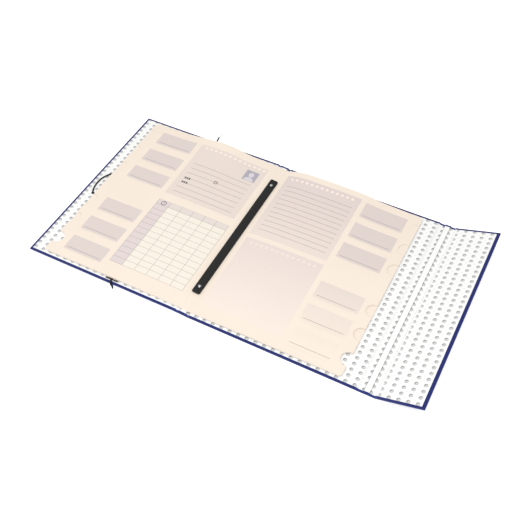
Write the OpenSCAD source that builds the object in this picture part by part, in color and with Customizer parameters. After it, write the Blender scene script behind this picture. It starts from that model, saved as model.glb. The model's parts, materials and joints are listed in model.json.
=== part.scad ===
// Open hard-cover sorting file (A4, twelve card dividers) with a fore-edge flap.
//
// The origin is the middle of the back cover's outer face, which lies on the table.
// +X runs from the spine to the flap, +Y from the near edge to the far edge, +Z up.
// The case is one wrapped set of boards: front cover, spine, back cover, fore edge
// and flap. Each crease between them is a hinge line along Y at the height of the
// joint between the covering and the lining.

/* [Covers] */
// Height of every board of the case, along the hinge lines
cover_h = 320; // [260:1:400]
// Width of the back cover
back_w = 246.6; // [200:0.1:300]
// How much narrower the front cover is, so that the fore edge folds up clear of it
front_step = 3; // [2.5:0.1:10]
// Thickness of the greyboard
board_t = 1.9; // [1.2:0.1:2.5]
// Thickness of the covering
wrap_t = 0.25; // [0.2:0.01:0.3]
// Thickness of the lining paper
lining_t = 0.25; // [0.15:0.01:0.3]
// Width of covering that shows around the lining
border_w = 3; // [2:0.5:8]

/* [Spine and fore edge] */
// Distance between the two hinge lines of the spine, which is the file's depth
file_depth = 21.2; // [18:0.1:40]
// Room that the closed flap has above the front cover
flap_room = 1; // [0.8:0.1:6]
// Width of the board inside the fore edge
fore_board_w = 8.2; // [5:0.1:12]
// Width of the flap, from its hinge line
flap_w = 65.7; // [40:0.1:110]
// Angle at which the flap stands up from the table, degrees
flap_lift = 18.9; // [0:0.1:60]

/* [Divider sheets] */
// Number of folded sheets, each making one left and one right leaf
sheet_count = 6; // [2:1:6]
// Distance from the front cover's fore edge to the leaves
leaf_fore_margin = 21.8; // [18:0.1:60]
// Distance from the covers' near and far edges to the leaves
leaf_end_margin = 7.3; // [7.2:0.1:30]
// Thickness of the card
card_t = 0.25; // [0.15:0.01:0.35]
// Radius of the leaves' outer corners
corner_r = 5; // [1:0.5:15]
// Radius of a thumb notch
notch_r = 11; // [6:0.5:14]
// Depth of a thumb notch
notch_depth = 12.5; // [11.5:0.5:18]
// Distance from a leaf's end to the middle of the nearest thumb notch
notch_end_margin = 28.2; // [20:0.1:40]
// Extra distance between the two groups of notches
notch_group_gap = 36.5; // [0:0.5:45]

/* [Binding bar] */
// Length of the binding bar
bar_l = 244; // [120:1:245]
// Thickness of the binding bar
bar_t = 2.4; // [1.5:0.1:4]
// Radius of the bar's corners
bar_corner_r = 2.5; // [1:0.1:4]
// Distance between the two rivets
rivet_spacing = 220; // [80:1:230]
// Radius of a rivet's shank
rivet_r = 1.4; // [1:0.1:1.8]
// Radius of a rivet's head
rivet_head_r = 2.1; // [1.9:0.1:3]

/* [Elastic] */
// Diameter of the elastic cord
cord_d = 2; // [1.5:0.1:2.5]
// Clearance between the cord and the edge of a hole that it passes through
cord_hole_clear = 0.6; // [0.5:0.1:1.5]
// Length of a metal barb
barb_l = 20; // [12:1:26]
// Radius of a metal barb
barb_r = 0.9; // [0.6:0.1:1]

/* [Hidden] */
$fn = 48;

// Gap between a panel's edge and its hinge line
hinge_gap = 0.3;
// Radius of the rounded bead of covering at a hinge line
hinge_bead_r = wrap_t - 0.01;
// Radius of the rounded bead of card at a leaf's crease
crease_bead_r = card_t / 2 - 0.005;
// Height of every hinge line above the outer face
hinge_z = wrap_t;
// Thickness of a wrapped and lined panel
panel_t = wrap_t + board_t + lining_t;
// Depth of the fore edge between its two hinge lines: the closed flap lies on the
// front cover, so it is deeper than the spine by a panel and some room
fore_depth = file_depth + panel_t + flap_room;
// The front cover lies this much higher than the back one, on the elastic cord
front_lift = cord_d;
// Angle of the spine between the two covers
spine_lean = asin(front_lift / file_depth);

// Hinge lines, from the spine to the flap
spine_hinge_x = -back_w / 2 - hinge_gap;
front_hinge_x = spine_hinge_x - file_depth * cos(spine_lean);
fore_hinge_x = back_w / 2 + hinge_gap;
flap_hinge_x = fore_hinge_x + fore_depth;
near_y = -cover_h / 2;

// Width of the front cover
front_w = back_w - front_step;
// Clearance between the lining and the lowest leaf
leaf_clear = 0.1;
// Distance from one leaf to the next
leaf_gap = 0.04;
leaf_pitch = card_t + leaf_gap;
// Distance from the hinge line to the top leaf's crease
leaf_start = 0.5;
// Size of the top leaf, from its crease to its outer edge and along the crease
leaf_w = front_w + hinge_gap - leaf_start - leaf_fore_margin;
leaf_h = cover_h - 2 * leaf_end_margin;
notch_pitch = (leaf_h - 2 * notch_end_margin - notch_group_gap) / (sheet_count - 1);
// Height of a stack of leaves and the case panel under it
stack_top = panel_t + leaf_clear + (sheet_count - 1) * leaf_pitch + card_t;
// The grooves beside the spine's board are wide enough for the board and the bar to
// stand upright over a stack of leaves when the file is closed
groove_clear = 0.2;
spine_board_w = file_depth - 2 * (stack_top + groove_clear);
// The bar is as wide as the board under it
bar_w = spine_board_w;
// Clearance around a margin strip, and its thickness where it flexes
margin_gap = 0.06;
margin_t = card_t - 2 * margin_gap;
// Clearance between a rivet's shank and its hole
rivet_clear = 0.05;
// The burr that closes each rivet on the outside of the spine
burr_r = 3;
burr_t = 0.5;
rivet_head_h = 0.8;
// Clearance between the end of the elastic cord and the far barb
barb_gap = 0.06;
// The far barb hangs loose at the cord's end: it is shorter, and lies at this angle
far_barb_l = barb_l / 2;
far_barb_turn = 85;
// The near barb lies this much higher than the cord inside the cover
near_barb_lift = 0.3;

// Route of the elastic cord on the front cover: distance from the fore edge, distance
// from the near edge, and height above the cover's outer face, in cord diameters for
// the height of everything that touches the cover
cord_r = cord_d / 2;
under = -cord_r;
inside = panel_t + cord_r;
cord_end_far = [126.4, 334, under];
cord_hole_far = [19.5, 180];
cord_hole_near = [17.5, 133];
barb_near = [138.6, 5.4];
cord_route = [
    cord_end_far,
    [127.2, 329, under],
    [128, 323, under],
    [127.6, 317, under],
    [122, 310, under],
    [24, 186, under],
    [20.6, 181.5, under + 0.1],
    [19.6, 180.2, -0.2],
    [cord_hole_far[0], cord_hole_far[1], 0.8],
    [19.5, 179.9, panel_t],
    [19, 179, inside - 0.3],
    [17.8, 177, inside],
    [14.6, 171, inside],
    [12.2, 164, inside],
    [11.5, 157, inside],
    [11.9, 149, inside],
    [13.8, 141, inside],
    [16, 136, inside],
    [17, 134, inside - 0.3],
    [17.5, 133.1, panel_t],
    [cord_hole_near[0], cord_hole_near[1], 0.8],
    [17.6, 132.8, -0.2],
    [18.5, 131.6, under + 0.1],
    [21.5, 128.4, under],
    [137, 5.5, under],
    [139.6, 2, under],
    [141, -0.2, under + 0.2],
    [141.2, -1.1, 0.3],
    [141.2, -1.15, panel_t - 0.5],
    [141, -0.2, inside - 0.1],
    [140, 1.6, inside + 0.2],
    [barb_near[0], barb_near[1] - barb_r - 0.6, inside + near_barb_lift],
    [barb_near[0], barb_near[1] - barb_r, inside + near_barb_lift]
];
cord_sides = 8;

// ---------------------------------------------------------------- helpers

// A box from its lowest to its highest corner
module block(low, high) {
    translate(low)
        cube(high - low);
}

// A rectangle with round corners, centred on the origin
module rounded_rectangle(w, h, r) {
    square([w - 2 * r, h], center = true);
    square([w, h - 2 * r], center = true);
    for (sx = [-1, 1])
        for (sy = [-1, 1])
            translate([sx * (w / 2 - r), sy * (h / 2 - r)])
                circle(r = r);
}

// A shape drawn in X and Z, drawn out along Y over the length given
module along_y(y0, y1) {
    translate([0, y1, 0])
        rotate([90, 0, 0])
            linear_extrude(height = y1 - y0)
                children();
}

// A tube of constant radius swept along a list of points, as one closed polyhedron
function unit(v) = v / norm(v);
function direction_at(p, i) =
    i == 0 ? unit(p[1] - p[0])
    : i == len(p) - 1 ? unit(p[i] - p[i - 1])
    : unit(unit(p[i] - p[i - 1]) + unit(p[i + 1] - p[i]));
function side_of(d, ref) = unit(ref - (ref * d) * d);
function frames(p, i = 0, ref = [0, 0, 1], done = []) =
    i == len(p) ? done
    : let (d = direction_at(p, i), s = side_of(d, ref))
        frames(p, i + 1, s, concat(done, [[s, cross(d, s)]]));
module swept_tube(p, r, sides) {
    f = frames(p);
    rings = [
        for (i = [0 : len(p) - 1])
            for (j = [0 : sides - 1])
                let (a = 360 * (j + 0.5) / sides)
                    p[i] + r * (cos(a) * f[i][0] + sin(a) * f[i][1])
    ];
    walls = [
        for (i = [0 : len(p) - 2])
            for (j = [0 : sides - 1])
                let (a = i * sides + j, b = i * sides + (j + 1) % sides)
                    each [[a, b + sides, b], [a, a + sides, b + sides]]
    ];
    last = (len(p) - 1) * sides;
    start_cap = [for (j = [0 : sides - 1]) j];
    end_cap = [for (j = [sides - 1 : -1 : 0]) last + j];
    polyhedron(points = rings, faces = concat(walls, [start_cap, end_cap]));
}

// ------------------------------------------------- where each body stands

// The spine, seen from its own middle, leaning between the two covers
module on_spine() {
    translate([spine_hinge_x, 0, hinge_z])
        rotate([0, spine_lean, 0])
            translate([-file_depth / 2, 0, -hinge_z])
                children();
}

// The front cover, seen from its hinge edge with its width running along -X
module on_front() {
    translate([front_hinge_x - hinge_gap, 0, front_lift])
        mirror([1, 0, 0])
            children();
}

// The front cover, seen from the near end of its fore edge
module on_front_fore_edge() {
    translate([front_hinge_x - hinge_gap - front_w, near_y, front_lift])
        children();
}

// The fore edge, seen from its own middle
module on_fore_edge() {
    translate([fore_hinge_x + fore_depth / 2, 0, 0])
        children();
}

// The flap, seen from its hinge edge
module on_flap() {
    translate([flap_hinge_x, 0, hinge_z])
        rotate([0, -flap_lift, 0])
            translate([hinge_gap, 0, -hinge_z])
                children();
}

// The back cover, seen from its spine edge
module on_back() {
    translate([-back_w / 2, 0, 0])
        children();
}

// ------------------------------------------------------------ case panels

// A panel starts at x = 0, where it hinges. Its far edge is turned in, unless it
// hinges on the next panel there too.

// Greyboard of a panel
module panel_board(w, far_hinge) {
    far_skin = far_hinge ? lining_t : wrap_t;
    block([lining_t, near_y + wrap_t, wrap_t],
          [w - far_skin, -near_y - wrap_t, panel_t - lining_t]);
}

// Covering of a panel: outer sheet, edges and the border turned in on the inside
module panel_wrap(w, far_hinge) {
    over = 1;
    far_board = far_hinge ? w + over : w - wrap_t;
    far_border = far_hinge ? w + over : w - border_w;
    difference() {
        block([0, near_y, 0], [w, -near_y, panel_t]);
        block([-over, near_y + wrap_t, wrap_t],
              [far_board, -near_y - wrap_t, panel_t - lining_t]);
        block([-over, near_y + border_w, panel_t - lining_t - over / 2],
              [far_border, -near_y - border_w, panel_t + over]);
    }
}

// Lining of a panel, folded down over the board at each hinge
module panel_lining(w, far_hinge) {
    y0 = near_y + border_w;
    block([0, y0, panel_t - lining_t],
          [far_hinge ? w : w - border_w, -y0, panel_t]);
    block([0, y0, wrap_t], [lining_t, -y0, panel_t]);
    if (far_hinge)
        block([w - lining_t, y0, wrap_t], [w, -y0, panel_t]);
}

// A narrow panel between two hinge lines is drawn from its own middle. Its covering
// runs on to a rounded bead at each hinge line.

// Greyboard of a narrow panel
module narrow_board(board_w) {
    block([-board_w / 2, near_y + wrap_t, wrap_t],
          [board_w / 2, -near_y - wrap_t, panel_t - lining_t]);
}

// Covering of a narrow panel: the outer sheet with a bead along each hinge line
module narrow_wrap(depth) {
    along_y(near_y, -near_y)
        union() {
            translate([-depth / 2, 0])
                square([depth, wrap_t]);
            for (side = [-1, 1])
                translate([side * depth / 2, hinge_z])
                    circle(r = hinge_bead_r);
        }
}

// The ends of that covering, turned in over the ends of the board and the grooves
module narrow_turn_ins(depth, board_w) {
    groove_x = depth / 2 - hinge_gap;
    end_x = board_w / 2 + lining_t;
    for (side = [0, 1])
        mirror([0, side, 0])
            difference() {
                union() {
                    block([-end_x, near_y, wrap_t], [end_x, near_y + border_w, panel_t]);
                    block([-groove_x, near_y, wrap_t],
                          [groove_x, near_y + border_w, wrap_t + lining_t]);
                }
                block([-end_x + lining_t, near_y + wrap_t, wrap_t],
                      [end_x - lining_t, near_y + border_w + 1, panel_t - lining_t]);
            }
}

// Lining of a narrow panel, down in both grooves and up over the board
module narrow_lining(depth, board_w) {
    groove_x = depth / 2 - hinge_gap;
    wall_x = board_w / 2;
    outer = wall_x + lining_t;
    low = wrap_t;
    top = panel_t;
    along_y(near_y + border_w, -near_y - border_w)
        polygon([
            [-groove_x, low], [-wall_x, low], [-wall_x, top - lining_t],
            [wall_x, top - lining_t], [wall_x, low], [groove_x, low],
            [groove_x, low + lining_t], [outer, low + lining_t], [outer, top],
            [-outer, top], [-outer, low + lining_t], [-groove_x, low + lining_t]
        ]);
}

// ------------------------------------------------------------------ case

module rivet_holes(r) {
    for (side = [-1, 1])
        translate([0, side * rivet_spacing / 2, -1])
            cylinder(r = r, h = sheet_fold_z(0) + 2);
}

module cord_holes() {
    for (place = [cord_hole_far, cord_hole_near])
        translate([place[0], place[1], -1])
            cylinder(r = cord_r + cord_hole_clear, h = panel_t + 2);
}

module back_wrap() {
    color("#33427A")
        on_back()
            panel_wrap(back_w, true);
}

module back_board() {
    color("#A79B86")
        on_back()
            panel_board(back_w, true);
}

module back_lining() {
    color("#F6F6F8")
        on_back()
            panel_lining(back_w, true);
}

module front_wrap() {
    color("#33427A")
        difference() {
            on_front()
                panel_wrap(front_w, false);
            on_front_fore_edge()
                cord_holes();
        }
}

module front_board() {
    color("#A79B86")
        difference() {
            on_front()
                panel_board(front_w, false);
            on_front_fore_edge()
                cord_holes();
        }
}

module front_lining() {
    color("#F6F6F8")
        difference() {
            on_front()
                panel_lining(front_w, false);
            on_front_fore_edge()
                cord_holes();
        }
}

module spine_wrap() {
    color("#33427A")
        on_spine()
            difference() {
                narrow_wrap(file_depth);
                rivet_holes(rivet_r + rivet_clear);
            }
}

module spine_turn_ins() {
    color("#33427A")
        on_spine()
            narrow_turn_ins(file_depth, spine_board_w);
}

module spine_board() {
    color("#A79B86")
        on_spine()
            difference() {
                narrow_board(spine_board_w);
                rivet_holes(rivet_r + rivet_clear);
            }
}

module spine_lining() {
    color("#F6F6F8")
        on_spine()
            difference() {
                narrow_lining(file_depth, spine_board_w);
                rivet_holes(rivet_r + rivet_clear);
            }
}

module fore_edge_wrap() {
    color("#33427A")
        on_fore_edge()
            narrow_wrap(fore_depth);
}

module fore_edge_turn_ins() {
    color("#33427A")
        on_fore_edge()
            narrow_turn_ins(fore_depth, fore_board_w);
}

module fore_edge_board() {
    color("#A79B86")
        on_fore_edge()
            narrow_board(fore_board_w);
}

module fore_edge_lining() {
    color("#F6F6F8")
        on_fore_edge()
            narrow_lining(fore_depth, fore_board_w);
}

module flap_wrap() {
    color("#33427A")
        on_flap()
            panel_wrap(flap_w - hinge_gap, false);
}

module flap_board() {
    color("#A79B86")
        on_flap()
            panel_board(flap_w - hinge_gap, false);
}

module flap_lining() {
    color("#F6F6F8")
        on_flap()
            panel_lining(flap_w - hinge_gap, false);
}

// -------------------------------------------------------- divider sheets

// Sheet 1 is the top one. Its leaf has every thumb notch, and each lower leaf has one
// notch fewer, so that a thumb reaches the leaf whose place the notch marks.

// Middle of thumb notch n along Y, counted from the far edge
function notch_y(n) =
    let (from_middle = (sheet_count + 1) / 2 - n)
        from_middle * notch_pitch + sign(from_middle) * notch_group_gap / 2;

// Height of leaf k's lower face above the lining
function leaf_z(k) = leaf_clear + (sheet_count - k) * leaf_pitch;

// Distance of leaf k's crease from the hinge line; lower leaves crease further out
function crease_x(k) = leaf_start + (k - 1) * leaf_pitch;

// One leaf, flat, with its rounded crease at x = 0
module leaf(k) {
    w = leaf_w - crease_x(k) + leaf_start;
    centre_x = w - notch_depth + notch_r;
    along_y(-leaf_h / 2, leaf_h / 2)
        translate([0, card_t / 2])
            circle(r = crease_bead_r);
    linear_extrude(height = card_t)
        difference() {
            union() {
                translate([0, -leaf_h / 2])
                    square([w - corner_r, leaf_h]);
                translate([w - corner_r - 1, -leaf_h / 2 + corner_r])
                    square([corner_r + 1, leaf_h - 2 * corner_r]);
                for (side = [-1, 1])
                    translate([w - corner_r, side * (leaf_h / 2 - corner_r)])
                        circle(r = corner_r);
            }
            for (n = [k : sheet_count])
                translate([centre_x, notch_y(n)]) {
                    circle(r = notch_r);
                    translate([0, -notch_r])
                        square([notch_depth, 2 * notch_r]);
                }
        }
}

// Leaf k at the left lies on the front cover, and at the right on the back cover
module left_leaf(k) {
    color("#FDF0E1")
        translate([front_hinge_x - crease_x(k), 0, front_lift + panel_t + leaf_z(k)])
            mirror([1, 0, 0])
                leaf(k);
}

module right_leaf(k) {
    color("#FDF0E1")
        translate([spine_hinge_x + crease_x(k), 0, panel_t + leaf_z(k)])
            leaf(k);
}

// Height of the lower face of sheet k where the bar clamps it to the spine
function sheet_fold_z(k) = panel_t + (sheet_count - k) * card_t;

// The middle of sheet k, clamped between the spine and the binding bar
module sheet_fold(k) {
    low = sheet_fold_z(k);
    color("#F3E6D6")
        on_spine()
            difference() {
                block([-spine_board_w / 2, -leaf_h / 2, low],
                      [spine_board_w / 2, leaf_h / 2, low + card_t]);
                rivet_holes(rivet_r + rivet_clear);
            }
}

// The margins of all sheets between the clamped middle and the creases, one strip
// per sheet. They flex as the file closes.

// A point of the spine's own section, seen from outside it
function on_spine_at(x, z) =
    let (dx = x - file_depth / 2, dz = z - hinge_z)
        [spine_hinge_x + dx * cos(spine_lean) + dz * sin(spine_lean),
         hinge_z - dx * sin(spine_lean) + dz * cos(spine_lean)];

// One margin strip, from the clamp's edge to the leaf's crease
module margin(clamp_edge, crease) {
    side = crease[0] > clamp_edge[0] ? 1 : -1;
    a = clamp_edge + [side * margin_gap, margin_gap];
    b = crease + [-side * (crease_bead_r + margin_gap), margin_gap];
    along_y(-leaf_h / 2, leaf_h / 2)
        polygon([a, b, b + [0, margin_t], a + [0, margin_t]]);
}

module left_margins() {
    color("#FDF0E1")
        for (k = [1 : sheet_count])
            margin(on_spine_at(-spine_board_w / 2, sheet_fold_z(k)),
                   [front_hinge_x - crease_x(k), front_lift + panel_t + leaf_z(k)]);
}

module right_margins() {
    color("#FDF0E1")
        for (k = [1 : sheet_count])
            margin(on_spine_at(spine_board_w / 2, sheet_fold_z(k)),
                   [spine_hinge_x + crease_x(k), panel_t + leaf_z(k)]);
}

// -------------------------------------------------------------- hardware

module binding_bar() {
    low = sheet_fold_z(0);
    color("#211E20")
        on_spine()
            translate([0, 0, low])
                linear_extrude(height = bar_t)
                    difference() {
                        rounded_rectangle(bar_w, bar_l, bar_corner_r);
                        for (side = [-1, 1])
                            translate([0, side * rivet_spacing / 2])
                                circle(r = rivet_r + rivet_clear);
                    }
}

// A rivet: domed head, shank through everything, and the burr outside the spine
module rivet() {
    top = sheet_fold_z(0) + bar_t;
    cap_r = (rivet_head_r * rivet_head_r + rivet_head_h * rivet_head_h) / (2 * rivet_head_h);
    translate([0, 0, -burr_t])
        cylinder(r = rivet_r, h = top + burr_t);
    translate([0, 0, -burr_t])
        cylinder(r = burr_r, h = burr_t);
    intersection() {
        translate([0, 0, top + rivet_head_h - cap_r])
            sphere(r = cap_r);
        translate([0, 0, top])
            cylinder(r = rivet_head_r + 1, h = rivet_head_h + 1);
    }
}

module rivets() {
    color("#D9DCDF")
        on_spine()
            for (side = [-1, 1])
                translate([0, side * rivet_spacing / 2, 0])
                    rivet();
}

module elastic_cord() {
    color("#17181F")
        on_front_fore_edge()
            swept_tube(cord_route, cord_r, cord_sides);
}

// A metal barb: a round bar with rounded ends
module barb(l) {
    rotate([0, 90, 0])
        cylinder(r = barb_r, h = l - 2 * barb_r, center = true);
    for (side = [-1, 1])
        translate([side * (l / 2 - barb_r), 0, 0])
            sphere(r = barb_r);
}

// The far barb hangs loose, just past the cord's end
module far_barb() {
    reach = far_barb_l / 2 + barb_gap;
    color("#B9BBBE")
        on_front_fore_edge()
            translate(cord_end_far)
                rotate([0, 0, far_barb_turn])
                    translate([reach, 0, 0])
                        barb(far_barb_l);
}

// The near barb lies across the end of the cord, inside the cover
module near_barb() {
    color("#3A3638")
        on_front_fore_edge()
            translate([barb_near[0], barb_near[1], inside + near_barb_lift])
                barb(barb_l);
}

back_wrap();
back_board();
back_lining();
front_wrap();
front_board();
front_lining();
spine_wrap();
spine_turn_ins();
spine_board();
spine_lining();
fore_edge_wrap();
fore_edge_turn_ins();
fore_edge_board();
fore_edge_lining();
flap_wrap();
flap_board();
flap_lining();
for (k = [1 : sheet_count]) left_leaf(k);
for (k = [1 : sheet_count]) right_leaf(k);
for (k = [1 : sheet_count]) sheet_fold(k);
left_margins();
right_margins();
binding_bar();
rivets();
elastic_cord();
far_barb();
near_barb();
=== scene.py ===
import json
import math

import bmesh
import bpy
from bpy.props import FloatProperty, FloatVectorProperty, IntProperty, PointerProperty
from mathutils import Matrix, Vector, noise


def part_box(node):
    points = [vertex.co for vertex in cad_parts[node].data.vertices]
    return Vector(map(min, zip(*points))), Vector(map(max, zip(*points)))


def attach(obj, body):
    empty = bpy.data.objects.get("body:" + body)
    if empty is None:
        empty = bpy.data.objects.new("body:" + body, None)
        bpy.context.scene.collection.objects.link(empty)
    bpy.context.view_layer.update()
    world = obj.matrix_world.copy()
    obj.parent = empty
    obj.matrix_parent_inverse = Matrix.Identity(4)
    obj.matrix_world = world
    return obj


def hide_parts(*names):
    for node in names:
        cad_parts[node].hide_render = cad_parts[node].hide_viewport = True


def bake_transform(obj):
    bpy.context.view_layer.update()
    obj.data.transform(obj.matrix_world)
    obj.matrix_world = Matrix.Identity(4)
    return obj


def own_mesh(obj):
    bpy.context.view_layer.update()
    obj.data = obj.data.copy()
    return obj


bl_info = {
    "name": "Sorting File",
    "version": (1, 0, 0),
    "blender": (4, 5, 0),
    "location": "View3D > Sidebar > Sorting File",
    "description": "Dresses the packed frame of a hard-cover sorting file",
    "category": "Object",
}

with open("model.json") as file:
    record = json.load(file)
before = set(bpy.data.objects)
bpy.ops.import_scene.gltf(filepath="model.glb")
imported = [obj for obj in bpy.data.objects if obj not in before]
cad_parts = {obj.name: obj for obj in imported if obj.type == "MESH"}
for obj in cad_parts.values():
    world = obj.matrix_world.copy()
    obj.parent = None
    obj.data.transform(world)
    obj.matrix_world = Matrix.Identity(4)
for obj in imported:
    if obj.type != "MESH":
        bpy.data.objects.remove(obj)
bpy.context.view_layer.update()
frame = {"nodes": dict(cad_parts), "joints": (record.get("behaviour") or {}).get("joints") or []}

MM = 0.001
HINGE = {j["name"]: Vector(j["pos_m"]) for j in frame["joints"]}
SPINE, FRONT = HINGE["spine_hinge"], HINGE["front_hinge"]
FORE, FLAP = HINGE["fore_edge_hinge"], HINGE["flap_hinge"]
FLAP_LIFT = math.radians(next(j["range_deg"][1] for j in frame["joints"] if j["name"] == "flap_hinge"))
SPINE_LEAN = math.atan2(FRONT.z - SPINE.z, SPINE.x - FRONT.x)
SPINE_DEPTH = (FRONT - SPINE).length
FORE_DEPTH = FLAP.x - FORE.x

BACK_LOW, BACK_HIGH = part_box("back_wrap")
FRONT_LOW, FRONT_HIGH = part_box("front_wrap")
PANEL_T = BACK_HIGH.z
FAR_Y = BACK_HIGH.y
HINGE_GAP = FORE.x - BACK_HIGH.x
FORE_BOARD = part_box("fore_edge_board")[1].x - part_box("fore_edge_board")[0].x
SHEETS = 6
NOTCH_R, NOTCH_DEPTH, CORNER_R = 11 * MM, 12.5 * MM, 5 * MM
LEAF_LOW, LEAF_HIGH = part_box("right_leaf_1")
LEAF_H = LEAF_HIGH.y - LEAF_LOW.y
NOTCH_END, NOTCH_GROUP_GAP = 28.2 * MM, 36.5 * MM
NOTCH_PITCH = (LEAF_H - 2 * NOTCH_END - NOTCH_GROUP_GAP) / (SHEETS - 1)
CARD_T = 0.25 * MM
SPINE_BOARD = 12.4 * MM
RIVET_Y = 110 * MM
BAR_Z, BAR_T = PANEL_T + SHEETS * CARD_T, 2.4 * MM
ENDPAPER_T = 0.14 * MM
SHARP_ANGLE = math.radians(38)


def linear(value):
    """A colour written as sRGB hex, as linear red, green and blue."""
    parts = [int(value[i:i + 2], 16) / 255 for i in (1, 3, 5)]
    return tuple(p / 12.92 if p <= 0.04045 else ((p + 0.055) / 1.055) ** 2.4 for p in parts)


def colour(name, description, value):
    """A colour that a user may change."""
    return FloatVectorProperty(name=name, description=description, default=linear(value),
                               subtype="COLOR", min=0, max=1)


def length(name, description, value):
    """A size that a user may change, given in millimetres."""
    return FloatProperty(name=name, description=description, default=value * MM,
                         subtype="DISTANCE", unit="LENGTH", min=0)


class CaseSettings(bpy.types.PropertyGroup):
    covering: colour("Covering", "Laminated paper over the boards", "#17236A")
    endpaper: colour("Endpaper", "White lining paper", "#FBFBFA")
    motif: colour("Motif", "Ink of the endpaper's rings", "#6E6D70")
    border: length("Border", "Covering that shows around the endpaper", 3.6)
    flap_border: length("Flap border", "Covering that shows at the flap's free edge", 4.8)
    edge_radius: length("Edge radius", "Rounding of a wrapped board", 0.7)
    paper: length("Paper", "Thickness of covering and endpaper", 0.2)
    column: length("Motif column", "Distance between columns of rings", 12.9)
    row: length("Motif row", "Distance between rings in a column", 9.65)


class PageSettings(bpy.types.PropertyGroup):
    card: colour("Card", "Cream card of the dividers", "#F5E7D8")
    panel: colour("Panel", "Tint of the printed labels and memo panels", "#DDD0CB")
    ink: colour("Ink", "Printed rules and marks", "#6D6A70")
    near_bulge: length("Near bulge", "Rise of the top leaves at the near edge", 1.6)
    far_bulge: length("Far bulge", "Rise of the top leaves at the far edge", 9.0)


class HardwareSettings(bpy.types.PropertyGroup):
    bar: colour("Bar", "Moulded binding bar", "#191818")
    metal: colour("Metal", "Nickel of the rivets", "#DADCDE")
    barb: colour("Barb", "Steel of the barbs", "#B9BBBE")
    cord: colour("Cord", "Braid of the elastic", "#0D0E1A")
    cord_d: length("Cord", "Diameter of the elastic", 2.4)
    strands: IntProperty(name="Strands", description="Strands of braid each way round the cord", default=6, min=3)
    bar_fillet: length("Bar fillet", "Rounding of the bar's upper edge", 0.7)


# ------------------------------------------------------------------ meshes


def add_piece(name, body, slot, verts, faces, materials, replaces=(), chosen=None):
    """A closed mesh that rides on a body, or is left free where body is None."""
    mesh = bpy.data.meshes.new(name)
    mesh.from_pydata([tuple(v) for v in verts], [], faces)
    for material in materials:
        mesh.materials.append(material)
    if chosen:
        mesh.polygons.foreach_set("material_index", chosen)
    bm = bmesh.new()
    bm.from_mesh(mesh)
    bmesh.ops.recalc_face_normals(bm, faces=bm.faces)
    bm.to_mesh(mesh)
    bm.free()
    mesh.shade_smooth()
    mesh.set_sharp_from_angle(angle=SHARP_ANGLE)
    piece = bpy.data.objects.new(name, mesh)
    bpy.context.scene.collection.objects.link(piece)
    if body:
        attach(piece, body)
    if replaces:
        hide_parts(*replaces)
    return piece


def join(parts):
    """Several (vertices, faces) pairs as one."""
    verts, faces = [], []
    for part_verts, part_faces in parts:
        start = len(verts)
        verts += part_verts
        faces += [[start + i for i in face] for face in part_faces]
    return verts, faces


def moved(part, matrix):
    verts, faces = part
    return [matrix @ Vector(v) for v in verts], faces


def rounded_slab(low, high, radius):
    """A board with every edge rounded."""
    bm = bmesh.new()
    bmesh.ops.create_cube(bm, size=1)
    centre, size = (Vector(low) + Vector(high)) / 2, Vector(high) - Vector(low)
    for v in bm.verts:
        v.co = Vector(a * b for a, b in zip(v.co, size)) + centre
    bmesh.ops.bevel(bm, geom=bm.edges[:], offset=radius, segments=4, profile=0.5, affect="EDGES")
    bm.verts.ensure_lookup_table()
    verts = [v.co.copy() for v in bm.verts]
    faces = [[v.index for v in f.verts] for f in bm.faces]
    bm.free()
    return verts, faces


def softened(path, rounds=2):
    """A path with its corners cut, keeping both ends."""
    for _ in range(rounds):
        cut = [path[0]]
        for a, b in zip(path, path[1:]):
            cut += [a.lerp(b, 0.25), a.lerp(b, 0.75)]
        path = cut + [path[-1]]
    return path


def ribbon(path, near, far, thickness, rows=2):
    """A band of paper: a path of points in X and Z, drawn out from near to far along Y."""
    count = len(path)
    offsets = []
    for i in range(count):
        along = path[min(i + 1, count - 1)] - path[max(i - 1, 0)]
        offsets.append(Vector((-along.z, 0, along.x)).normalized() * (thickness / 2))
    verts = []
    for r in range(rows):
        y = Vector((0, near + (far - near) * r / (rows - 1), 0))
        verts += [p + o + y for p, o in zip(path, offsets)] + [p - o + y for p, o in zip(path, offsets)]
    step, faces = 2 * count, []
    for r in range(rows - 1):
        a = r * step
        for i in range(count - 1):
            faces.append([a + i, a + i + 1, a + step + i + 1, a + step + i])
            faces.append([a + count + i, a + step + count + i, a + step + count + i + 1, a + count + i + 1])
        faces.append([a, a + step, a + step + count, a + count])
        faces.append([a + count - 1, a + 2 * count - 1, a + step + 2 * count - 1, a + step + count - 1])
    for a in (0, (rows - 1) * step):
        for i in range(count - 1):
            faces.append([a + i, a + count + i, a + count + i + 1, a + i + 1])
    return verts, faces


def turned(profile, sides=28):
    """A solid turned about Z from (radius, height) points in millimetres, first and last on the axis."""
    verts, rings = [], []
    for radius, height in ((r * MM, h * MM) for r, h in profile):
        if radius < 1e-9:
            rings.append([len(verts)])
            verts.append(Vector((0, 0, height)))
            continue
        rings.append(list(range(len(verts), len(verts) + sides)))
        for j in range(sides):
            a = 2 * math.pi * j / sides
            verts.append(Vector((radius * math.cos(a), radius * math.sin(a), height)))
    faces = []
    for a, b in zip(rings, rings[1:]):
        for j in range(sides):
            quad = [a[j % len(a)], a[(j + 1) % len(a)], b[(j + 1) % len(b)], b[j % len(b)]]
            faces.append(list(dict.fromkeys(quad)))
    return verts, faces


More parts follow.
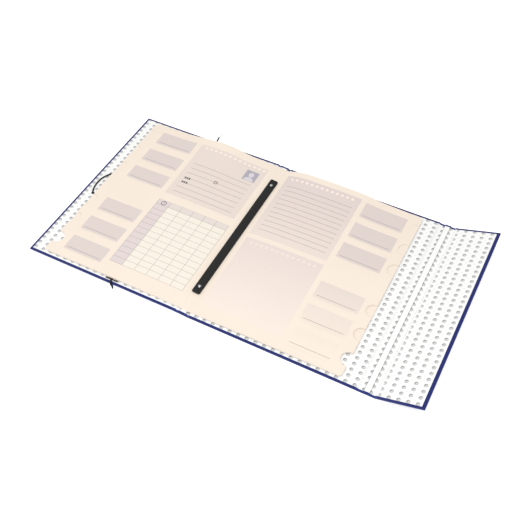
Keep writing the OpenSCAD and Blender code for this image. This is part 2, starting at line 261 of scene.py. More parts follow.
def smooth_route(points, spacing):
    """Points every spacing along a curve through the points given.

    The curve runs past a point where a long stretch meets a short one, and doubles back.
    """
    fine = []
    padded = [points[0] * 2 - points[1]] + points + [points[-1] * 2 - points[-2]]
    for a, b, c, d in zip(padded, padded[1:], padded[2:], padded[3:]):
        steps = max(2, round((c - b).length / spacing))
        for i in range(steps):
            t = i / steps
            fine.append(0.5 * (2 * b + (c - a) * t + (2 * a - 5 * b + 4 * c - d) * t ** 2
                               + (3 * b - 3 * c + d - a) * t ** 3))
    return fine + [points[-1]]


def braided_cord(route, radius, strands, sides=20):
    """A cord whose surface rises where strands of the braid cross."""
    verts, faces, side, run = [], [], Vector((0, 0, 1)), 0
    for i, point in enumerate(route):
        along = (route[min(i + 1, len(route) - 1)] - route[max(i - 1, 0)]).normalized()
        side = (side - along * side.dot(along)).normalized()
        other = along.cross(side)
        run += (point - route[i - 1]).length if i else 0
        for j in range(sides):
            a = 2 * math.pi * j / sides
            turn = run / radius * 1.1
            weave = math.cos(strands * a + turn) * math.cos(strands * a - turn)
            verts.append(point + (side * math.cos(a) + other * math.sin(a)) * radius * (0.95 + 0.06 * weave))
    for i in range(len(route) - 1):
        for j in range(sides):
            a, b = i * sides + j, i * sides + (j + 1) % sides
            faces.append([a, b, b + sides, a + sides])
    faces += [list(range(sides)), list(range(len(verts) - sides, len(verts)))]
    return verts, faces


# --------------------------------------------------------------- materials


def fill_inputs(tree, node, inputs):
    """Sets a node's inputs: each key names one and gives a socket to link or a value."""
    for key, value in inputs.items():
        if isinstance(value, bpy.types.NodeSocket):
            tree.links.new(value, node.inputs[key])
        else:
            node.inputs[key].default_value = value


def add_node(tree, kind, inputs=None, out=0, **settings):
    """Adds one shader node with its settings and inputs, and gives the output asked for."""
    node = tree.nodes.new("ShaderNode" + kind)
    for key, value in settings.items():
        setattr(node, key, value)
    fill_inputs(tree, node, inputs or {})
    return node.outputs[out]


def start_material(name):
    """A new material, its tree, its shader and the place on the object in metres."""
    material = bpy.data.materials.new(name)
    material.use_nodes = True
    tree = material.node_tree
    return material, tree, tree.nodes["Principled BSDF"], add_node(tree, "TexCoord", out="Object")


def rgba(value):
    """A colour with full opacity, from sRGB hex or from linear parts."""
    return (*(linear(value) if isinstance(value, str) else value), 1)


def sheet_places(tree, place, direction=(1, 0, 0)):
    """Millimetres across and along the open file, from the front cover's near outer corner."""
    way = {0: place, 1: Vector(direction) / MM}
    across = add_node(tree, "VectorMath", way, out="Value", operation="DOT_PRODUCT")
    along = add_node(tree, "SeparateXYZ", {0: place}, out="Y")
    return (add_node(tree, "Math", {0: across, 1: -FRONT_LOW.x / MM}, operation="ADD"),
            add_node(tree, "Math", {0: along, 1: 1 / MM, 2: FAR_Y / MM}, operation="MULTIPLY_ADD"))


def overlap(tree, first, *others):
    """1 where all the masks are."""
    for other in others:
        first = add_node(tree, "Math", {0: first, 1: other}, operation="MULTIPLY", use_clamp=True)
    return first


def either(tree, first, *others):
    """1 where any of the masks is."""
    for other in others:
        first = add_node(tree, "Math", {0: first, 1: other}, operation="MAXIMUM", use_clamp=True)
    return first


def printed_box(tree, u, v, left, right, near, far):
    """1 inside a rectangle given in millimetres."""
    sides = []
    for value, low, high in ((u, left, right), (v, near, far)):
        inside = {0: value, 1: (low + high) / 2, 2: (high - low) / 2}
        sides.append(add_node(tree, "Math", inside, operation="COMPARE"))
    return overlap(tree, *sides)


def cell_place(tree, value, first, pitch):
    """Distance from the nearest of a row of marks, the first of them at first."""
    start = add_node(tree, "Math", {0: value, 1: first - pitch / 2}, operation="SUBTRACT")
    wrapped = add_node(tree, "Math", {0: start, 1: pitch}, operation="FLOORED_MODULO")
    return add_node(tree, "Math", {0: wrapped, 1: pitch / 2}, operation="SUBTRACT")


def repeated_rules(tree, value, first, pitch, width=0.75):
    """1 on rules of that width, a pitch apart."""
    place = cell_place(tree, value, first, pitch)
    return add_node(tree, "Math", {0: place, 1: 0.0, 2: width / 2}, operation="COMPARE")


def round_mark(tree, a, b, radius, squeeze=1.0):
    """1 inside a disc about the origin of a and b, or an ellipse where squeeze isn't 1."""
    taller = add_node(tree, "Math", {0: b, 1: squeeze}, operation="MULTIPLY")
    square = add_node(tree, "Math", {0: taller, 1: taller}, operation="MULTIPLY")
    total = add_node(tree, "Math", {0: a, 1: a, 2: square}, operation="MULTIPLY_ADD")
    return add_node(tree, "Math", {0: total, 1: radius ** 2}, operation="LESS_THAN")


def ring_mark(tree, a, b, outer, inner, squeeze=1.0):
    """1 on a ring about the origin of a and b."""
    disc, hole = round_mark(tree, a, b, outer, squeeze), round_mark(tree, a, b, inner)
    return add_node(tree, "Math", {0: disc, 1: hole}, operation="SUBTRACT", use_clamp=True)


def from_point(tree, u, v, centre):
    """Distances across and along from a point given in millimetres."""
    return [add_node(tree, "Math", {0: value, 1: at}, operation="SUBTRACT")
            for value, at in zip((u, v), centre)]


def inked(tree, base, mask, ink, strength=1.0):
    """The base colour with ink laid over it as far as the mask goes from 0 to 1."""
    amount = add_node(tree, "Math", {0: mask, 1: strength}, operation="MULTIPLY", use_clamp=True)
    return add_node(tree, "Mix", {0: amount, 6: base, 7: ink}, out=2, data_type="RGBA")


def paper_surface(tree, shader, place, fibre_mm, height):
    """Fibres of paper: a slight mottle, returned as 0 to 1, and a fine relief."""
    scale = 1 / (fibre_mm * MM)
    fibres = add_node(tree, "TexNoise", {"Vector": place, "Scale": scale, "Detail": 4.0, "Roughness": 0.62})
    relief = {"Height": fibres, "Strength": 0.35, "Distance": height}
    fill_inputs(tree, shader, {"Normal": add_node(tree, "Bump", relief)})
    return fibres


def film_laminated_paper(name, settings):
    """Film-laminated cover paper: printed solid blue under a satin film, glued over greyboard.

    The film gives a soft sheen, the board's grain shows through as a slow unevenness, and the
    film is rubbed a little paler along the edges.
    """
    material, tree, shader, place = start_material(name)
    # greyboard grain is about 1 mm, drawn at 2 mm so that it shows
    grain = paper_surface(tree, shader, place, 2.0, 0.00004)
    edge = add_node(tree, "NewGeometry", out="Pointiness")
    worn = add_node(tree, "MapRange", {"Value": edge, 1: 0.53, 2: 0.6, 3: 0.0, 4: 0.25}, clamp=True)
    mottled = inked(tree, rgba(c * 0.86 for c in settings.covering), grain, rgba(settings.covering))
    rubbed = inked(tree, mottled, worn, rgba("#4A5AA8"))
    sheen = add_node(tree, "MapRange", {"Value": grain, 3: 0.3, 4: 0.44})
    fill_inputs(tree, shader, {"Base Color": rubbed, "Roughness": sheen, "IOR": 1.38})
    return material


WHOLE_HEIGHT = (-10, 330)


def printed_endpaper(name, settings, first_column, first_row, direction=(1, 0, 0), creases=(), blank=None):
    """Uncoated endpaper: white offset paper printed in one grey, glued flat to the board.

    Rows and columns of rings about 6 mm across, darker on one side as a quick print is, with a
    faint speck between every four, and painted shade with some soiling along each crease, heavier
    on the rings' rows. A creased sheet has a blank band between its middle creases.
    """
    material, tree, shader, place = start_material(name)
    u, v = sheet_places(tree, place, direction)
    # paper fibres are about 0.3 mm, drawn at 1.2 mm so that they show
    fibres = paper_surface(tree, shader, place, 1.2, 0.00002)
    column, row = settings.column / MM, settings.row / MM
    a, b = cell_place(tree, u, first_column, column), cell_place(tree, v, first_row, row)
    ring = ring_mark(tree, a, b, 3.0, 0.9, 1.05)
    slant = add_node(tree, "Math", {0: b, 1: a}, operation="SUBTRACT")
    upper = add_node(tree, "Math", {0: slant, 1: 0.6}, operation="GREATER_THAN")
    heavy = overlap(tree, ring, round_mark(tree, a, b, 2.3), upper)
    speck_a = cell_place(tree, u, first_column + column / 2, column)
    speck_b = cell_place(tree, v, first_row + row / 2, row)
    paper, ink = inked(tree, rgba("#F5F5F3"), fibres, rgba(settings.endpaper)), rgba(settings.motif)
    shade = inked(tree, paper, round_mark(tree, a, b, 3.1, 1.05), ink, 0.3)
    shade = inked(tree, shade, ring, ink, 0.2)
    shade = inked(tree, shade, heavy, ink, 0.68)
    shade = inked(tree, shade, round_mark(tree, speck_a, speck_b, 1.6, 1.7), ink, 0.13)
    if blank:
        shade = inked(tree, shade, printed_box(tree, u, v, *blank, *WHOLE_HEIGHT), paper)
    # painted shade with some soiling along each crease, heavier on the rings' rows
    crease_shade_rows = add_node(tree, "Math", {0: b, 1: 0.0, 2: 2.6}, operation="COMPARE")
    for at, width, strength in creases:
        line = printed_box(tree, u, v, at - width / 2, at + width / 2, *WHOLE_HEIGHT)
        shade = inked(tree, shade, line, ink, strength)
        shade = inked(tree, shade, overlap(tree, line, crease_shade_rows), ink, strength)
    fill_inputs(tree, shader, {"Base Color": shade, "Roughness": 0.72, "IOR": 1.4})
    return material


# creases of the back sheet's far end, each darkened with painted shade and some soiling: distance across, width,
# strength of the painted shade and soiling
FORE_CREASES = ((510.8, 0.5, 0.14), (520.2, 0.8, 0.5), (528.4, 0.8, 0.5), (536.9, 0.5, 0.12))
FORE_BLANK = (520.7, 528.0)
FLAP_WAY = Vector((math.cos(FLAP_LIFT), 0, math.sin(FLAP_LIFT)))


def endpaper(case, sheet):
    """The endpaper of one sheet, its rings starting where that sheet was cut."""
    flap_start = (FLAP.dot(FLAP_WAY) - FRONT_LOW.x) / MM + 4.3
    far_end = (160.2, (1, 0, 0), FORE_CREASES, FORE_BLANK)
    cuts = {"front": (6.0, 162.3), "back": (494.0, *far_end), "fold": (529.3, *far_end),
            "flap": (flap_start, 160.2, FLAP_WAY)}
    return finish(f"printed_endpaper_{sheet}", printed_endpaper, case, *cuts[sheet])


def card_base(tree, shader, place, pale, full):
    """Cream bristol card: pressed smooth, with a slow cloudiness and fine fibres."""
    # card fibres are about 0.3 mm, drawn at 1.5 mm so that they show
    fibres = paper_surface(tree, shader, place, 1.5, 0.00002)
    cloud = add_node(tree, "TexNoise", {"Vector": place, "Scale": 18.0, "Detail": 2.0})
    tone = add_node(tree, "Math", {0: fibres, 1: 0.35, 2: cloud}, operation="MULTIPLY_ADD", use_clamp=True)
    fill_inputs(tree, shader, {"Roughness": 0.6, "IOR": 1.48})
    return inked(tree, rgba(pale), tone, rgba(full))


def plain_card(name, pale, full):
    """The same card where it isn't printed: backs, cut edges, clamped middles and margins."""
    material, tree, shader, place = start_material(name)
    fill_inputs(tree, shader, {"Base Color": card_base(tree, shader, place, pale, full)})
    return material


def label_column(tree, u, v, shade, settings, left, right, half, fade=1.0):
    """Six labels in two groups of three, one by each thumb notch, each with a writing rule."""
    ink, inset = rgba(settings.ink), 4
    for sign in (1, -1):
        for n in range(3):
            middle = FAR_Y / MM + sign * (LABEL_FIRST + n * NOTCH_PITCH / MM)
            near = middle - half
            box = overlap(tree, printed_box(tree, u, v, left, right, near, middle + half), fade)
            shade = inked(tree, shade, box, rgba(settings.panel))
            rule = printed_box(tree, u, v, left + inset, right - inset, near + 4.1, near + 4.9)
            shade = inked(tree, shade, rule, ink, 0.62)
            hair = printed_box(tree, u, v, left + inset, right - 2 * inset, near - 1.8, near - 1.2)
            shade = inked(tree, shade, hair, ink, 0.12)
    return shade


def punched_row(tree, u, v, first, last, height):
    """Thirteen pale dots in a row, like a torn-off pad's holes."""
    pitch = (last - first) / 12
    a = cell_place(tree, u, first, pitch)
    b = add_node(tree, "Math", {0: v, 1: height}, operation="SUBTRACT")
    within = printed_box(tree, u, v, first - pitch / 2, last + pitch / 2, height - 4, height + 4)
    return overlap(tree, round_mark(tree, a, b, 2.3), within)


def ruled_lines(tree, u, v, left, right, first, count, pitch):
    """Writing rules, the first at the near end."""
    within = printed_box(tree, u, v, left, right, first - pitch / 2, first + (count - 0.5) * pitch)
    return overlap(tree, repeated_rules(tree, v, first, pitch), within)


# the left leaves' print in millimetres: left, right, near and far sides
LABEL_FIRST = 39.5
MEMO = (117, 237, 182, 298.5)
PICTURE = (207, 228, 262, 284)
TIMETABLE = (117.2, 237.1, 32.1, 166.9)
HOURS, DAY_WIDTH, HOUR_HEIGHT = 138.1, 19.8, 10.37
CLOCK = (128.2, 161.5)


def picture_box(tree, u, v, shade):
    """A grey box with a plain head and shoulders in it, where an owner would put a picture."""
    left, right, near, far = PICTURE
    middle = (left + right) / 2
    shade = inked(tree, shade, printed_box(tree, u, v, *PICTURE), rgba("#AFAAB4"))
    head = round_mark(tree, *from_point(tree, u, v, (middle, near + 13.5)), 4.2, 0.86)
    chest = round_mark(tree, *from_point(tree, u, v, (middle, near)), 8.0)
    bust = overlap(tree, chest, printed_box(tree, u, v, left, right, near + 0.5, far))
    return inked(tree, shade, either(tree, head, bust), rgba("#D8D2D8"))


def timetable(tree, u, v, shade):
    """A ruled grid with a shaded first row and column, and a clock in their corner."""
    left, right, near, far = TIMETABLE
    for box, tint in ((TIMETABLE, "#F2EADD"), ((left, right, far - HOUR_HEIGHT, far), "#E4D9D2"),
                      ((left, HOURS, near, far), "#DFD2D0")):
        shade = inked(tree, shade, printed_box(tree, u, v, *box), rgba(tint))
    columns = repeated_rules(tree, u, HOURS, DAY_WIDTH)
    rows = repeated_rules(tree, v, near + 0.3, HOUR_HEIGHT)
    days = printed_box(tree, u, v, HOURS - 2, right + 0.4, near, far + 0.4)
    grid = overlap(tree, either(tree, columns, rows), days)
    side = overlap(tree, rows, printed_box(tree, u, v, left, HOURS, near, far + 0.4))
    first_rule = printed_box(tree, u, v, left, left + 0.6, near, far)
    shade = inked(tree, shade, either(tree, grid, side, first_rule), rgba("#76806F"), 0.5)
    face = ring_mark(tree, *from_point(tree, u, v, CLOCK), 4.2, 3.1)
    hand = printed_box(tree, u, v, CLOCK[0] - 0.3, CLOCK[0] + 0.3, CLOCK[1] - 0.3, CLOCK[1] + 2.6)
    return inked(tree, shade, either(tree, face, hand), rgba("#34343A"), 0.9)


def left_print(name, settings):
    """Offset print on the left leaves: labels, a memo panel with a picture box, and a timetable."""
    material, tree, shader, place = start_material(name)
    u, v = sheet_places(tree, place)
    shade = card_base(tree, shader, place, "#F0E1D1", settings.card)
    shade = label_column(tree, u, v, shade, settings, 44.5, 108, 13.7)
    shade = inked(tree, shade, printed_box(tree, u, v, *MEMO), rgba(settings.panel), 0.62)
    shade = inked(tree, shade, punched_row(tree, u, v, 128, 231, 293), rgba("#F8EADC"))
    lines = ruled_lines(tree, u, v, 126, 227, 191.5, 7, 10.65)
    shade = picture_box(tree, u, v, inked(tree, shade, lines, rgba(settings.ink), 0.6))
    for low in (211.5, 220.7):
        word = printed_box(tree, u, v, 128.3, 139.3, low, low + 4.2)
        bars = repeated_rules(tree, u, 129.8, 3.6, 2.4)
        shade = inked(tree, shade, overlap(tree, bars, word), rgba("#3E3D45"), 0.9)
    outer, inner = (printed_box(tree, u, v, 173.8 + wall, 179.8 - wall, 231.4 + wall, 237.4 - wall)
                    for wall in (0, 1.2))
    icon = add_node(tree, "Math", {0: outer, 1: inner}, operation="SUBTRACT", use_clamp=True)
    shade = timetable(tree, u, v, inked(tree, shade, icon, rgba("#55545C"), 0.8))
    fill_inputs(tree, shader, {"Base Color": shade})
    return material


def right_print(name, settings):
    """Offset print on the right leaves: labels, a ruled memo panel and a blank one."""
    material, tree, shader, place = start_material(name)
    u, v = sheet_places(tree, place)
    shade = card_base(tree, shader, place, "#F0E1D1", settings.card)
    # the tint runs out towards the near edge
    fade = add_node(tree, "MapRange", {"Value": v, 1: 30.0, 2: 190.0, 3: 0.0, 4: 1.0})
    depth = add_node(tree, "MapRange", {"Value": v, 1: 170.0, 2: 302.0, 3: 0.5, 4: 0.95})
    shade = label_column(tree, u, v, shade, settings, 401, 468, 15, fade)
    panel, dot = rgba(settings.panel), rgba("#F8EADC")
    upper = overlap(tree, printed_box(tree, u, v, 269, 393, 170, 302), depth)
    shade = inked(tree, inked(tree, shade, upper, panel), punched_row(tree, u, v, 279, 380, 295), dot)
    lines = ruled_lines(tree, u, v, 278, 386, 183, 11, 9.6)
    shade = inked(tree, shade, lines, rgba(settings.ink), 0.62)
    blank = printed_box(tree, u, v, 270, 393, 27, 162)
    shade = inked(tree, shade, blank, rgba("#F3E4DE"), 0.5)
    shade = inked(tree, shade, overlap(tree, blank, fade), panel, 0.75)
    shade = inked(tree, shade, overlap(tree, punched_row(tree, u, v, 281, 382, 154), fade), dot, 0.7)
    fill_inputs(tree, shader, {"Base Color": shade})
    return material


def moulded_plastic(name, settings):
    """Polypropylene: injection moulded in black, against a spark-eroded tool face.

    Almost black, with a soft grey sheen broken up by a fine even grain.
    """
    material, tree, shader, place = start_material(name)
    # spark-eroded grain is about 0.1 mm, drawn at 0.5 mm so that it shows
    grain = add_node(tree, "TexNoise", {"Vector": place, "Scale": 2000.0, "Detail": 3.0})
    bump = add_node(tree, "Bump", {"Height": grain, "Strength": 0.4, "Distance": 0.00003})
    rough = add_node(tree, "MapRange", {"Value": grain, 3: 0.42, 4: 0.6})
    fill_inputs(tree, shader, {"Base Color": inked(tree, rgba("#0F0E0F"), grain, rgba(settings.bar)), "IOR": 1.42,
                               "Roughness": rough, "Normal": bump})
    return material


def plated_metal(name, value, low, high):
    """Steel pressed or drawn to shape, then nickel plated, left plain or blackened.

    Faint rubbing varies how bright it is and how sharply it reflects.
    """
    material, tree, shader, place = start_material(name)
    # handling marks are about 0.8 mm
    rub = add_node(tree, "TexNoise", {"Vector": place, "Scale": 1250.0, "Detail": 3.0})
    tone = inked(tree, rgba(c * 0.85 for c in value), rub, rgba(value))
    rough = add_node(tree, "MapRange", {"Value": rub, 3: low, 4: high})
    fill_inputs(tree, shader, {"Base Color": tone, "Roughness": rough, "Metallic": 1.0})
    return material


def braided_polyester(name, settings):
    """Polyester yarn braided over rubber: dull, almost black, with the strands' raised crowns paler, a painted
    highlight with some wear.
    """
    material, tree, shader, place = start_material(name)
    # a strand is about 0.5 mm wide
    yarn = add_node(tree, "TexNoise", {"Vector": place, "Scale": 2000.0, "Detail": 4.0})
    high = add_node(tree, "NewGeometry", out="Pointiness")
    # painted highlight with some wear: paler where the braid's strands rise
    crown_highlight_and_wear = add_node(tree, "MapRange", {"Value": high, 1: 0.48, 2: 0.56, 3: 0.0, 4: 0.25}, clamp=True)
    dark = inked(tree, rgba("#0C0D13"), yarn, rgba(settings.cord))
    shade = inked(tree, dark, crown_highlight_and_wear, rgba("#262936"))
    fill_inputs(tree, shader, {"Base Color": shade, "Roughness": 0.85, "IOR": 1.4})
    return material


def studio_paper(name):
    """White background paper on a light table: seamless, matt, and lit a little from within."""
    material, tree, shader, place = start_material(name)
    tooth = add_node(tree, "TexNoise", {"Vector": place, "Scale": 300.0})
    tone = inked(tree, rgba("#FAFAFA"), tooth, rgba("#FFFFFF"))
    fill_inputs(tree, shader, {"Base Color": tone, "Roughness": 0.95,
                               "Emission Color": (1, 1, 1, 1), "Emission Strength": 0.45})
    return material


def finish(name, make, *words):
    """The material of that name, made the first time that it is asked for."""
    return bpy.data.materials.get(name) or make(name, *words)


# ------------------------------------------------------------------ places


def spine_place(x, z):
    """A point of the spine's own section, in the row frame."""
    turn = Matrix.Rotation(SPINE_LEAN, 3, "Y")
    return Vector((SPINE.x, 0, SPINE.z)) + turn @ Vector((x - SPINE_DEPTH / 2, 0, z - SPINE.z))


def flap_place(x, z):
    """A point of the flap's section, x from its hinge line, in the row frame."""
    turn = Matrix.Rotation(-FLAP_LIFT, 3, "Y")
    return Vector((FLAP.x, 0, FLAP.z)) + turn @ Vector((x, 0, z - FLAP.z))


def spine_matrix():
    return (Matrix.Translation(SPINE) @ Matrix.Rotation(SPINE_LEAN, 4, "Y")
            @ Matrix.Translation((-SPINE_DEPTH / 2, 0, -SPINE.z)))


def flap_matrix():
    return Matrix.Translation(FLAP) @ Matrix.Rotation(-FLAP_LIFT, 4, "Y") @ Matrix.Translation((0, 0, -FLAP.z))


def flat_place(x, z):
    return Vector((x, 0, z))


def front_place(x, z):
    return Vector((x, 0, FRONT_LOW.z + z))


def flap_width():
    """Width of the flap from its hinge line, along the flap."""
    low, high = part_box("flap_wrap")
    return (high.x - FLAP.x + (PANEL_T - FLAP.z) * math.sin(FLAP_LIFT)) / math.cos(FLAP_LIFT)


# how a leaf's far edge arches: distance from the crease, share of the whole rise
ARCH = {"left": ((0, 0), (25, 0.12), (50, 0.34), (72, 0.84), (94, 1.0), (118, 0.78), (142, 0.42), (170, 0.2),
                 (224, 0.06)),
        "right": ((0, 0), (12, 0.5), (26, 0.86), (60, 1.0), (100, 1.0), (130, 0.88), (152, 0.48), (180, 0.3),
                  (224, 0.15))}


WAVE = 0.25 * MM
MIDDLE_RISE = {"left": 0.6 * MM, "right": 3.2 * MM}


def arch(side, s):
    """Share of the rise s from the crease: a smooth curve through the side's points."""
    points = [(at * MM, share) for at, share in ARCH[side]]
    i = max(j for j in range(len(points) - 1) if j == 0 or points[j][0] <= s)
    slopes = []
    for j in (i, i + 1):
        low, high = points[max(j - 1, 0)], points[min(j + 1, len(points) - 1)]
        slopes.append((high[1] - low[1]) / (high[0] - low[0]))
    (x0, y0), (x1, y1) = points[i], points[i + 1]
    width = x1 - x0
    t = min(1.0, (s - x0) / width)
    return ((2 * t ** 3 - 3 * t ** 2 + 1) * y0 + (t ** 3 - 2 * t ** 2 + t) * slopes[0] * width
            + (3 * t ** 2 - 2 * t ** 3) * y1 + (t ** 3 - t ** 2) * slopes[1] * width)


def rise(side, s, y, k, settings):
    """How far leaf k stands above where it would lie flat, s from its crease."""
    along = max(0.0, min(1.0, (y + LEAF_H / 2) / LEAF_H))
    soft = s / (100 * MM) * math.exp(1 - s / (100 * MM))
    near = settings.near_bulge + MIDDLE_RISE[side] * math.sin(math.pi * along * 0.5)
    far = (settings.far_bulge - settings.near_bulge - MIDDLE_RISE[side]) * along ** 5
    arched = arch(side, s)
    top_leaf = near * ((1 - along ** 2) * soft + along ** 2 * arched) + far * arched
    return top_leaf * (1 - 0.085 * (k - 1))


def notch_y(n):
    """Middle of thumb notch n, counted from the far edge."""
    middle = (SHEETS + 1) / 2 - n
    return middle * NOTCH_PITCH + math.copysign(NOTCH_GROUP_GAP / 2, middle)


def leaf_reach(y, k, width):
    """Distance from the crease to the leaf's outer edge at a place along it."""
    reach, past = width, abs(y) - (LEAF_H / 2 - CORNER_R)
    if past > 0:
        reach -= CORNER_R - math.sqrt(max(0, CORNER_R ** 2 - past ** 2))
    for n in range(k, SHEETS + 1):
        off = abs(y - notch_y(n))
        if off <= NOTCH_R + 1e-7:
            reach = width - NOTCH_DEPTH + NOTCH_R - math.sqrt(max(0, NOTCH_R ** 2 - off ** 2))
    return reach


def leaf_rows(k):
    """Where along Y the leaf's rows of points lie: closer together at notches and corners."""
    half = LEAF_H / 2
    rows = [-half + LEAF_H * i / 48 for i in range(49)]
    for side in (-1, 1):
        rows += [side * (half - CORNER_R + CORNER_R * math.sin(math.pi / 2 * i / 6)) for i in range(7)]
    for n in range(k, SHEETS + 1):
        rows = [y for y in rows if abs(y - notch_y(n)) > NOTCH_R]
        rows += [notch_y(n) + NOTCH_R * math.sin(math.pi * i / 20 - math.pi / 2) for i in range(21)]
        rows += [notch_y(n) + side * (NOTCH_R + 0.02 * MM) for side in (-1, 1)]
    return sorted(rows)


def leaf_mesh(side, k, settings):
    """A soft leaf: the printed face, the back and the cut edge."""
    low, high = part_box(f"{side}_leaf_{k}")
    width = high.x - low.x - CARD_T / 2
    sign = -1 if side == "left" else 1
    crease_x = high.x - CARD_T / 2 if side == "left" else low.x + CARD_T / 2
    rows, columns = leaf_rows(k), 34
    top, base = [], []
    for y in rows:
        reach = leaf_reach(y, k, width)
        for c in range(columns):
            s = reach * c / (columns - 1)
            wave = WAVE * noise.noise(Vector((s * 14, y * 14, k * 3.1))) * min(1, s / (30 * MM))
            z = low.z + rise(side, s, y, k, settings) + wave * (1 - 0.1 * k)
            base.append(Vector((crease_x + sign * s, y, z)))
            top.append(Vector((crease_x + sign * s, y, z + CARD_T)))
    size, faces, chosen = len(top), [], []
    for r in range(len(rows) - 1):
        for c in range(columns - 1):
            a = r * columns + c
            faces.append([a, a + 1, a + columns + 1, a + columns])
            faces.append([size + a, size + a + columns, size + a + columns + 1, size + a + 1])
            chosen += [0, 1]
    ring = ([c for c in range(columns)]
            + [r * columns + columns - 1 for r in range(1, len(rows))]
            + [(len(rows) - 1) * columns + c for c in range(columns - 2, -1, -1)]
            + [r * columns for r in range(len(rows) - 2, 0, -1)])
    for a, b in zip(ring, ring[1:] + ring[:1]):
        faces.append([a, b, size + b, size + a])
        chosen.append(1)
    return top + base, faces, chosen


# --------------------------------------------------------------- operators


class FILE_OT_covering(bpy.types.Operator):
    """Wraps the front cover, back cover, spine, fore edge and flap in blue covering"""
    bl_idname = "sorting_file.covering"
    bl_label = "Covering"

    def execute(self, context):
        case = context.scene.sorting_case
        blue = finish("film_laminated_paper", film_laminated_paper, case)
        # the covering's inner face lies just under the endpaper
        top, strip_low = PANEL_T - 0.12 * MM, 0.05 * MM
        middle, half, still = (FORE.x + FLAP.x) / 2, FORE_BOARD / 2, Matrix.Identity(4)
        panel, strip = ("wrap", "board"), ("wrap", "turn_ins", "board")
        boards = (
            ("front", "front_cover", FRONT_LOW.x, FRONT_HIGH.x, FRONT_LOW.z, FRONT_LOW.z + top, still, panel),
            ("back", "back_cover", BACK_LOW.x, BACK_HIGH.x, 0, top, still, panel),
            ("flap", "flap", HINGE_GAP, flap_width(), 0, top, flap_matrix(), panel),
            ("spine", "spine", -SPINE_BOARD / 2, SPINE_BOARD / 2, strip_low, top, spine_matrix(), strip),
            ("fore_edge", "fore_edge", middle - half, middle + half, strip_low, top, still, strip),
        )
        for name, body, left, right, low, high, matrix, kinds in boards:
            slab = rounded_slab((left, -FAR_Y, low), (right, FAR_Y, high), case.edge_radius)
            nodes = [f"{name}_{kind}" for kind in kinds]
            add_piece(f"{name}_covering", body, "covering", *moved(slab, matrix), [blue], nodes)
        return {"FINISHED"}


def over_edge(place, edge, way, deep):
    """A lining's path over a board's rounded edge at edge, way outwards, and down beside it."""
    steps = ((-3.0, 2.39), (-1.6, 2.39), (-0.7, 2.40), (0.0, 2.30), (0.22, 1.6), (0.9, deep))
    return [place(edge + way * x * MM, z * MM) for x, z in steps]


def groove_paths():
    """For each hinge: bodies, hinge line, endpaper, the covering's outer path and the lining's path."""
    spine_edge, spine_line = SPINE_BOARD / 2, SPINE_DEPTH / 2
    fore_left = FORE.x + (FORE_DEPTH - FORE_BOARD) / 2
    fore_right = fore_left + FORE_BOARD
    tuck, inside, deep = 1.6 * MM, 1 * MM, 0.75

    def outer(*points):
        return [place(x, 0.14 * MM) for place, x in points]

    def inner(left, right):
        return over_edge(*left) + over_edge(*right)[::-1]

    return (
        ("front_hinge", "front_cover", "spine", FRONT, "front",
         outer((front_place, FRONT_HIGH.x - tuck), (front_place, FRONT_HIGH.x),
               (spine_place, inside - spine_line), (spine_place, inside - spine_edge)),
         inner((front_place, FRONT_HIGH.x, 1, deep + 0.3), (spine_place, -spine_edge, -1, deep))),
        ("spine_hinge", "back_cover", "spine", SPINE, "back",
         outer((flat_place, BACK_LOW.x + tuck), (flat_place, BACK_LOW.x),
               (spine_place, spine_line - inside), (spine_place, spine_edge - inside)),
         inner((flat_place, BACK_LOW.x, -1, deep), (spine_place, spine_edge, 1, deep))),
        ("fore_hinge", "back_cover", "fore_edge", FORE, "back",
         outer((flat_place, BACK_HIGH.x - tuck), (flat_place, BACK_HIGH.x),
               (flat_place, FORE.x + inside), (flat_place, fore_left + inside)),
         inner((flat_place, BACK_HIGH.x, 1, deep + 0.5), (flat_place, fore_left, -1, deep))),
        ("flap_hinge", "fore_edge", "flap", FLAP, "fold",
         outer((flat_place, fore_right - inside), (flat_place, FLAP.x - inside),
               (flap_place, HINGE_GAP), (flap_place, tuck)),
         inner((flat_place, fore_right, 1, deep), (flap_place, HINGE_GAP, -1, deep + 0.5))),
    )


class FILE_OT_grooves(bpy.types.Operator):
    """Carries covering and endpaper across each hinge line and down into the grooves"""
    bl_idname = "sorting_file.grooves"
    bl_label = "Grooves"

    def execute(self, context):
        case = context.scene.sorting_case
        blue = finish("film_laminated_paper", film_laminated_paper, case)
        edge, lap = FAR_Y - case.border, 0.5 * MM
        cloth_end, tuck_end = FAR_Y - 0.2 * MM, FAR_Y - 0.1 * MM
        for name, a, b, line, sheet, outer, inner in groove_paths():
            lining = softened(inner)
            tucked = [p + Vector((0, 0, -0.09 * MM)) for p in lining]
            cloth = join([ribbon(softened(outer), -cloth_end, cloth_end, case.paper),
                          ribbon(tucked, -tuck_end, -edge + lap, ENDPAPER_T),
                          ribbon(tucked, edge - lap, tuck_end, ENDPAPER_T)])
            paper = ribbon(lining, -edge, edge, ENDPAPER_T)
            for kind, part, material, slot in (("covering", cloth, blue, "covering"),
                                               ("endpaper", paper, endpaper(case, sheet), "lining")):
                piece = add_piece(f"{name}_{kind}", None, slot, *part, [material])
                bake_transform(piece)
        return {"FINISHED"}


